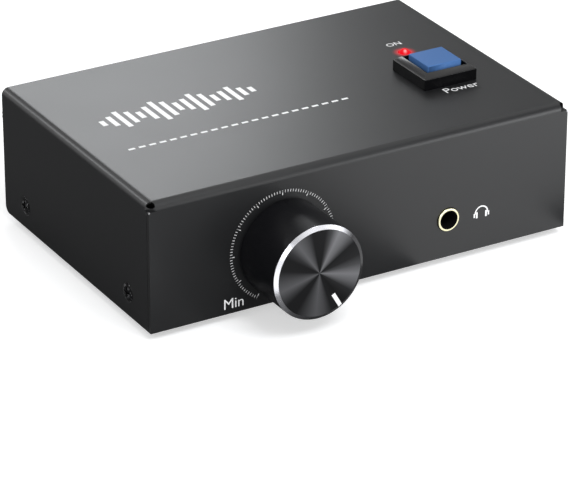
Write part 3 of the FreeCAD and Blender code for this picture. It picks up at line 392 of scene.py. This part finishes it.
# Printed wave on the top: a plain row of bars of changing height over a row of dashes.
bar_heights = (3, 6, 10, 7, 4, 8, 12, 9, 5, 7, 11, 8, 4, 6, 9, 5, 3)
bar_start, bar_pitch, bar_width, bar_step, wave_y = -0.0475, 0.00265, 0.0014, 0.001, 0.0105
for index, height in enumerate(bar_heights):
    print_block(
        f"wave_bar_{index:02d}", (bar_width, height * bar_step, ink_thickness),
        (bar_start + index * bar_pitch, wave_y, top_z),
    )
dash_count, dash_start, dash_pitch, dash_y = 22, -0.0485, 0.0029, -0.0065
dash_length, dash_width = 0.0018, 0.0008
for index in range(dash_count):
    print_block(
        f"dash_{index:02d}", (dash_length, dash_width, ink_thickness),
        (dash_start + index * dash_pitch, dash_y, top_z),
    )

# Rear lettering: which socket is which, above the sockets. The two white sockets are the
# ends of one CAD node and the two red ones of another.
rear_height = 0.0022
channel_rise, pair_rise, ground_rise = 0.0078, 0.0110, 0.0054
socket_z = middle_of("rca_insulators_left").z
socket_x = {}
for hand in ("left", "right"):
    low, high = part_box("rca_insulators_" + hand)
    socket_radius = (high.z - low.z) / 2
    socket_x["in", hand] = round(low.x + socket_radius, 5)
    socket_x["out", hand] = round(high.x - socket_radius, 5)
for kind in ("in", "out"):
    pair_x = (socket_x[kind, "left"] + socket_x[kind, "right"]) / 2
    pair_place = (pair_x, panel_y, socket_z + pair_rise)
    print_words(f"mark_{kind}", kind.upper(), rear_height, pair_place, rear_plane)
    for hand in ("left", "right"):
        letter_place = (socket_x[kind, hand], panel_y, socket_z + channel_rise)
        print_words(
            f"mark_{kind}_{hand}", hand[0].upper(), rear_height, letter_place, rear_plane
        )
ground_middle = middle_of("ground_stud")
ground_place = (ground_middle.x, panel_y, ground_middle.z + ground_rise)
inlet_place = (middle_of("dc_inlet_body").x, panel_y, socket_z + channel_rise)
print_words("mark_ground", "GND", rear_height, ground_place, rear_plane)
print_words("mark_inlet", "DC", rear_height, inlet_place, rear_plane)


# Volume knob: turned aluminium, anodised black, with a diamond-cut edge round a face that
# the lathe has left with fine rings. The light fanning over the face and the bright and dark
# stretches of the edge are painted reflections.
knob_metal, place = start_material("knob_metal")
knob_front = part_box("volume_knob_shell")[0].y
knob_axis = (knob_middle.x, 0, knob_middle.z)
face_radius, face_depth, edge_depth, ring_pitch = 0.01148, 0.00004, 0.0007, 0.00022
edge_width, edge_inset = 0.00015, 0.00005
edge_start = face_radius - edge_width
edge_on_face = face_radius - edge_inset
offset = place.node("ShaderNodeVectorMath", {"operation": "SUBTRACT"}, {0: place, 1: knob_axis})
across, depth, upward = split(offset)
radius = place.maths("SQRT", across * across + upward * upward)
on_face = depth < knob_front + face_depth
inside_edge = on_face * (radius < edge_on_face)
on_edge = (depth < knob_front + edge_depth) * (radius > edge_start) * (1 - inside_edge)
turn = place.maths("ARCTAN2", upward, across) / (2 * math.pi)
turn = place.maths("FRACT", turn + 1.0)


def painted_light_fan(turn, levels):
    """Painted reflection: grey that changes with the angle round the knob, from pairs of turn and
    level.
    """
    red, green, blue = 0.62, 0.62, 0.65
    stops = [(at, (red * level, green * level, blue * level, 1)) for at, level in levels]
    return turn.node("ShaderNodeValToRGB", {"stops": stops}, {0: turn})


# Painted reflections: streaks of light over the face, and bright and dark stretches round the cut
# edge.
painted_face_streaks = painted_light_fan(turn, (
    (0.0, 0.16), (0.035, 0.05), (0.09, 0.035), (0.135, 0.3), (0.168, 0.42), (0.2, 0.12),
    (0.225, 0.035), (0.28, 0.035), (0.31, 0.16), (0.345, 0.27), (0.38, 0.09), (0.405, 0.035),
    (0.455, 0.04), (0.5, 0.17), (0.535, 0.26), (0.57, 0.12), (0.6, 0.035), (0.65, 0.035),
    (0.69, 0.12), (0.735, 0.24), (0.77, 0.16), (0.8, 0.04), (0.85, 0.03), (0.895, 0.06),
    (0.93, 0.3), (0.96, 0.45), (1.0, 0.16),
))
edge_painted_reflection = painted_light_fan(turn, (
    (0.0, 0.06), (0.11, 0.08), (0.16, 0.6), (0.2, 1.45), (0.27, 1.45), (0.35, 0.6), (0.41, 0.7),
    (0.49, 1.45), (0.56, 1.2), (0.64, 0.4), (0.72, 0.15), (0.85, 0.2), (1.0, 0.06),
))
rings = place.maths("SINE", radius * (2 * math.pi / ring_pitch))
black = blend(place, noise(place, 900.0), (0.003, 0.003, 0.004, 1), (0.005, 0.005, 0.006, 1))
face = blend(place, on_face, black, painted_face_streaks)
surface(place, {
    "Base Color": blend(place, on_edge, face, edge_painted_reflection),
    "Metallic": on_face * 0.75 + on_edge * 0.95,
    "Roughness": 0.36 + 0.04 * on_face - 0.12 * on_edge,
    "Specular IOR Level": 0.1,
}, bump=rings * on_face, depth=0.000004, strength=0.4)
dress(knob_metal, "volume_knob_shell")


# Pointer on the knob: a slot cut in the face near its edge and filled with white enamel,
# which shows how far the knob is turned.
enamel, place = start_material("pointer_enamel")
grain = noise(place, 1500.0)
surface(place, {
    "Base Color": blend(place, grain, (0.82, 0.82, 0.82, 1), (0.9, 0.9, 0.9, 1)),
    "Roughness": 0.35 + 0.1 * grain,
})
dress(enamel, "volume_knob_pointer")


# Black plastic parts: housings, nuts and chips, moulded and satin, with the faint
# unevenness of a tool-made surface.
plastic, place = start_material("black_plastic")
grain = noise(place, 700.0)
surface(place, {
    "Base Color": blend(place, grain, (0.010, 0.010, 0.011, 1), (0.017, 0.017, 0.018, 1)),
    "Roughness": 0.34 + 0.14 * grain,
}, bump=grain, depth=0.00001, strength=0.3)
dress(
    plastic, "volume_pot_body", "volume_knob_insert", "headphone_jack_body", "power_button_nut",
    "power_button_plunger", "switch_contact_block", "light_holder", "rca_housings", "dc_inlet_body",
    "op_amps", "voltage_regulator", "diodes",
)


# Power button bezel: a square collar of polished black plastic, screwed into the cover
# with a nut from below.
bezel_gloss, place = start_material("bezel_gloss")
smear = noise(place, 260.0)
normal = place.node("ShaderNodeNewGeometry", {}, {}, "Normal")
slope_lift = 0.3
sloping = split(normal)[2] > slope_lift
surface(place, {
    "Base Color": blend(place, smear, (0.0015, 0.0015, 0.002, 1), (0.003, 0.003, 0.0035, 1)),
    "Roughness": 0.22 + 0.08 * smear,
    "Specular IOR Level": 0.1,
    "Coat Weight": sloping * 0.8,
    "Coat Roughness": 0.15,
})
bezel_edge = 0.00012
soften("power_button_bezel", "bezel_collar", bezel_edge, bezel_gloss)


# Power button cap: a square of blue moulded plastic with rounded edges, pressed onto the
# switch's plunger and moving with it.
cap_blue, place = start_material("cap_blue")
grain = noise(place, 1200.0)
surface(place, {
    "Base Color": blend(place, grain, (0.054, 0.140, 0.34, 1), (0.064, 0.158, 0.38, 1)),
    "Roughness": 0.42 + 0.12 * grain,
    "Specular IOR Level": 0.15,
}, bump=grain, depth=0.000006, strength=0.3)
cap_edge = 0.0002
soften("power_button_cap", "button_cap", cap_edge, cap_blue, "power_button")


# Power light: a round lens moulded in red plastic and lit from within, pushed up through
# the cover in its holder.
lens_red, place = start_material("lens_red")
cloud = noise(place, 300.0)
hot_aside, hot_drop = 0.0003, 0.0008
hot_spot = (glow_centre[0] - hot_aside, glow_centre[1] - hot_drop, 0)
core_start, core_end = 0.0001, 0.00075
seen_from_above = place.node(
    "ShaderNodeVectorMath", {"operation": "MULTIPLY"}, {0: place, 1: (1, 1, 0)}
)
core = fade_out(distance_to(seen_from_above, hot_spot), core_start, core_end)
surface(place, {
    "Base Color": blend(place, cloud, (0.16, 0.0, 0.002, 1), (0.22, 0.002, 0.004, 1)),
    "Roughness": 0.3 + 0.05 * cloud,
    "Specular IOR Level": 0.05,
    "Emission Color": blend(place, core * core, (0.72, 0.006, 0.016, 1), (1.0, 0.5, 0.5, 1)),
    "Emission Strength": 1.0,
})
dress(lens_red, "power_light")


# Socket contacts and headphone jack nose: turned brass, gold plated. Inside its bore the
# nose is painted dark as shade.
gold, place = start_material("gold_plate")
smear = noise(place, 500.0)
surface(place, {
    "Base Color": blend(place, smear, (0.93, 0.76, 0.36, 1), (0.98, 0.84, 0.46, 1)),
    "Metallic": 1.0,
    "Roughness": 0.16 + 0.12 * smear,
})
dress(gold, "rca_contacts")
nose_gold, place = start_material("nose_gold")
smear = noise(place, 500.0)
bore_radius = 0.00258
jack_axis = (jack_middle.x, 0, jack_middle.z)
offset = place.node("ShaderNodeVectorMath", {"operation": "SUBTRACT"}, {0: place, 1: jack_axis})
across, _, upward = split(offset)
# Painted shade: inside the bore the nose is near black, not metal, and rough.
outside_bore = place.maths("SQRT", across * across + upward * upward) > bore_radius
gilt = blend(place, smear, (0.93, 0.87, 0.56, 1), (0.97, 0.93, 0.66, 1))
surface(place, {
    "Base Color": blend(place, outside_bore, (0.002, 0.002, 0.002, 1), gilt),
    "Metallic": outside_bore,
    "Roughness": 0.6 - 0.4 * outside_bore + 0.1 * smear,
    "Specular IOR Level": 0.1,
})
dress(nose_gold, "headphone_jack_nose")


# Sleeves of the rear sockets: rolled brass, nickel plated, each held by its housing round
# an insulator.
nickel, place = start_material("nickel_plate")
smear = noise(place, 420.0)
surface(place, {
    "Base Color": blend(place, smear, (0.58, 0.56, 0.52, 1), (0.68, 0.66, 0.62, 1)),
    "Metallic": 1.0,
    "Roughness": 0.18 + 0.14 * smear,
})
dress(nickel, "rca_shells")


# Insulators of the rear sockets: moulded nylon, white for the left channel and red for the
# right. The wire header and its plug are white too, and the film capacitors red.
white_nylon, place = start_material("white_nylon")
grain = noise(place, 900.0)
surface(place, {
    "Base Color": blend(place, grain, (0.72, 0.71, 0.68, 1), (0.8, 0.79, 0.76, 1)),
    "Roughness": 0.42 + 0.12 * grain,
})
dress(white_nylon, "rca_insulators_left", "wire_header", "header_plug")
red_nylon, place = start_material("red_nylon")
grain = noise(place, 900.0)
surface(place, {
    "Base Color": blend(place, grain, (0.5, 0.02, 0.02, 1), (0.6, 0.035, 0.03, 1)),
    "Roughness": 0.38 + 0.12 * grain,
})
dress(red_nylon, "rca_insulators_right", "film_capacitors")


# Ground post: turned brass stud, washer and thumb nut, nickel plated and a little dull.
# The thumb nut screws along the stud and presses the washer onto a wire.
post_metal, place = start_material("post_metal")
smear = noise(place, 650.0, 5.0)
surface(place, {
    "Base Color": blend(place, smear, (0.5, 0.49, 0.46, 1), (0.62, 0.6, 0.57, 1)),
    "Metallic": 1.0,
    "Roughness": 0.27 + 0.15 * smear,
})
dress(post_metal, "ground_stud", "ground_thumb_nut")
# The washer is a hair thinner than its place, so that the nut turns on it freely.
washer_foot = Vector((0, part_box("ground_washer")[0].y, 0))
thickness_share = 0.97
thinner = Matrix.Diagonal((1, thickness_share, 1, 1))
washer = soften("ground_washer", "clamp_washer", 0.0, post_metal, "ground_washer")
washer.data.transform(Matrix.Translation(washer_foot) @ thinner @ Matrix.Translation(-washer_foot))


# Steel small parts: screws, shafts, springs, pins and legs, turned or cut from wire and
# sheet, and plated bright.
bright_steel, place = start_material("bright_steel")
smear = noise(place, 800.0)
surface(place, {
    "Base Color": blend(place, smear, (0.52, 0.53, 0.54, 1), (0.62, 0.63, 0.64, 1)),
    "Metallic": 1.0,
    "Roughness": 0.22 + 0.14 * smear,
})
dress(
    bright_steel, "board_screws", "volume_pot_shaft", "volume_pot_washer", "volume_pot_nut",
    "volume_pot_pins", "switch_lugs", "light_leads", "dc_inlet_pin",
    "dc_inlet_spring", "headphone_jack_springs", "chip_legs", "ground_lock_nut",
)
# The button's return spring, which bears down on the contact block, gets a mesh of its own.
spring = soften("power_button_spring", "return_spring", 0.0, bright_steel)
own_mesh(spring)


# Standoffs and the volume control's bushing: turned brass, unplated. The standoffs stand
# on the tray's floor and carry the board.
brass, place = start_material("brass")
smear = noise(place, 700.0)
surface(place, {
    "Base Color": blend(place, smear, (0.62, 0.42, 0.14, 1), (0.72, 0.5, 0.2, 1)),
    "Metallic": 1.0,
    "Roughness": 0.25 + 0.15 * smear,
})
dress(brass, "board_standoffs", "volume_pot_bushing")


# Wiper of the volume control: a punched disc of brown phenolic sheet, fixed on the shaft
# inside the control's body.
phenolic, place = start_material("phenolic")
grain = noise(place, 1000.0)
surface(place, {
    "Base Color": blend(place, grain, (0.12, 0.05, 0.02, 1), (0.17, 0.08, 0.035, 1)),
    "Roughness": 0.5 + 0.15 * grain,
})
dress(phenolic, "volume_pot_wiper")


# Circuit board: glass fibre with green solder mask over copper tracks, screwed onto the
# standoffs.
board_mask, place = start_material("board_mask")
tracks = place.node(
    "ShaderNodeTexVoronoi", {"feature": "DISTANCE_TO_EDGE"}, {"Vector": place, "Scale": 260.0}
)
weave = noise(place, 1400.0)
track_edge = 0.09
mask_green = blend(place, tracks > track_edge, (0.02, 0.12, 0.045, 1), (0.01, 0.065, 0.025, 1))
surface(place, {
    "Base Color": mask_green,
    "Roughness": 0.3 + 0.15 * weave,
})
dress(board_mask, "circuit_board")


# Electrolytic capacitors: aluminium cans in shrunk plastic sleeves, bare on top, standing
# on the board.
can_sleeve, place = start_material("can_sleeve")
grain = noise(place, 900.0)
normal = place.node("ShaderNodeNewGeometry", {}, {}, "Normal")
top_lift = 0.9
bare = split(normal)[2] > top_lift
surface(place, {
    "Base Color": blend(place, bare, (0.012, 0.018, 0.05, 1), (0.6, 0.6, 0.6, 1)),
    "Metallic": bare * 0.9,
    "Roughness": 0.3 + 0.15 * grain,
})
dress(can_sleeve, "small_capacitors", "large_capacitors")


# Resistors: ceramic rods with metal film, dipped in blue lacquer, with colour bands, lying
# flat along the board.
lacquer, place = start_material("resistor_lacquer")
band_pitch, band_start = 0.0016, 0.7
phase = place.maths("FRACT", split(place)[0] / band_pitch)
surface(place, {
    "Base Color": blend(place, phase > band_start, (0.08, 0.25, 0.42, 1), (0.3, 0.08, 0.03, 1)),
    "Roughness": 0.35 + 0.1 * noise(place, 900.0),
})
dress(lacquer, "resistors")


# Harness wires: stranded copper in soft coloured sleeves, from the header to the switch
# and to the light.
wire_cover, place = start_material("wire_cover")
grain = noise(place, 600.0)
surface(place, {
    "Base Color": blend(place, grain, (0.45, 0.02, 0.02, 1), (0.55, 0.03, 0.03, 1)),
    "Roughness": 0.45 + 0.1 * grain,
})
dress(wire_cover, "switch_wires", "light_wires")


# Floor: a wide pale sheet that the object stands on. It is white to the camera, and plain
# pale paper to everything else, with the object's shadow on it.
def white_rays(place):
    """1 for the rays that see the white background: the camera's, mirrored and through."""
    camera_ray, mirrored, through = (
        place.node("ShaderNodeLightPath", {}, {}, f"Is {kind} Ray")
        for kind in ("Camera", "Glossy", "Transmission")
    )
    return place.maths("MAXIMUM", place.maths("MAXIMUM", camera_ray, mirrored), through)


paper, place = start_material("floor_paper")
grain = noise(place, 40.0)
surface(place, {
    "Base Color": blend(place, grain, (0.8, 0.8, 0.8, 1), (0.82, 0.82, 0.82, 1)),
    "Roughness": 0.9,
    "Emission Color": blend(place, white_rays(place), (0, 0, 0, 1), (1, 1, 1, 1)),
    "Emission Strength": 0.45,
})
bpy.ops.object.select_all(action="DESELECT")
floor_size, floor_gap = 8.0, 0.00002
bpy.ops.mesh.primitive_plane_add(size=floor_size, location=(0, 0, -floor_gap))
floor = bpy.context.object
floor.name = "floor"
floor.data.materials.append(paper)


# Daylight round the object: white where the camera looks past the floor, softer grey
# light on the object itself.
world = bpy.data.worlds.new("studio")
bpy.context.scene.world = world
world.use_nodes = True
world.node_tree.nodes.clear()
sky = world.node_tree.nodes.new("ShaderNodeTexCoord")
seen = white_rays(Shade(sky.outputs["Generated"]))
air = seen.node("ShaderNodeBackground", {}, {"Color": (1, 1, 1, 1), "Strength": 0.55 + 0.45 * seen})
seen.node("ShaderNodeOutputWorld", {}, {"Surface": air})


# Lamps: a soft box behind, whose reflection slides over the top, a fill in front on the left,
# a small one that draws a line along the left bend, the key light in front, and a low card
# of light on the right that the front panel reflects.
for name, position, target, size, power in (
    ("lamp_back_left", (0.108, 0.34, 0.215), (-0.05, 0.0, 0.03), (0.15, 0.12), 0.3),
    ("lamp_fill", (-0.50, -0.90, 0.35), (0.0, 0.0, 0.02), (0.4, 0.4), 3.0),
    ("lamp_left_line", (-0.30, 0.46, 0.31), (-0.06, 0.0, 0.03), (0.08, 0.08), 0.32),
    ("lamp_key", (0.04, -0.48, 0.75), (0.0, 0.0, 0.02), (0.4, 0.4), 3.4),
    ("lamp_low_card", (0.17, -0.20, 0.004), (0.06, -0.03, 0.03), (0.14, 0.2), 0.3),
):
    lamp = bpy.data.lights.new(name, "AREA")
    lamp.shape = "RECTANGLE"
    lamp.size, lamp.size_y = size
    lamp.energy = power
    lamp.color = (0.96, 0.98, 1.0)
    held = bpy.data.objects.new(name, lamp)
    bpy.context.scene.collection.objects.link(held)
    aim = (Vector(target) - Vector(position)).to_track_quat("-Z", "Y")
    held.matrix_world = Matrix.Translation(position) @ aim.to_matrix().to_4x4()
    held.visible_camera = False


# Grey cards round the object, as a photographer sets for a black case on white paper. They
# show only in reflections: four on the table, one over the front and one standing behind.
nap_contrast = 1.1
for name, low, high, grey_level in (
    ("card_left", (-0.50, -0.05, 0.001), (-0.050, 0.50, 0.001), 0.12),
    ("card_front", (-0.044, -0.20, 0.001), (0.017, -0.032, 0.001), 0.2),
    ("card_near", (-0.080, -0.065, 0.001), (-0.044, -0.032, 0.001), 0.3),
    ("card_right", (0.062, -0.05, 0.001), (0.60, 0.78, 0.001), 0.05),
    ("card_over", (0.10, -0.90, 0.70), (0.90, -0.20, 0.70), 0.05),
    ("card_back", (-0.10, 0.80, 0.0), (1.20, 0.80, 0.90), 0.45),
):
    felt, place = start_material(name + "_felt")
    nap = noise(place, 200.0)
    dark_grey, light_grey = (grey_level,) * 3, (grey_level * nap_contrast,) * 3
    surface(place, {
        "Base Color": blend(place, nap, (*dark_grey, 1), (*light_grey, 1)),
        "Roughness": 0.95,
        "Specular IOR Level": 0.0,
    })
    bpy.ops.object.select_all(action="DESELECT")
    bpy.ops.mesh.primitive_plane_add(size=1.0)
    card = bpy.context.object
    card.name = name
    size = Vector(high) - Vector(low)
    stand = front_plane if size.y == 0 else Matrix.Identity(4)
    card.data.transform(stand @ Matrix.Diagonal((size.x, size.y + size.z, 1, 1)))
    card.data.transform(Matrix.Translation((Vector(low) + Vector(high)) / 2))
    card.data.materials.append(felt)
    card.visible_camera = card.visible_diffuse = card.visible_shadow = False
    card.visible_transmission = False


# Camera: a long lens at the photograph's viewing angle, placed and turned by its own
# right, up and forward directions.
camera = bpy.data.cameras.new("camera")
camera.sensor_fit = "HORIZONTAL"
camera.sensor_width = 36.0
camera.lens = 229.74
camera.clip_start = 0.01
eye = bpy.data.objects.new("camera", camera)
bpy.context.scene.collection.objects.link(eye)
right = Vector((0.86613, -0.49983, 0.0))
up = Vector((0.22191, 0.38470, 0.89597))
forward = Vector((0.44786, 0.77600, -0.44412))
turned = Matrix((right, up, -forward)).transposed().to_4x4()
eye_place = (-0.42093, -0.72692, 0.41040)
eye.matrix_world = Matrix.Translation(eye_place) @ turned
bpy.context.scene.camera = eye
bpy.context.scene.view_settings.view_transform = "Standard"
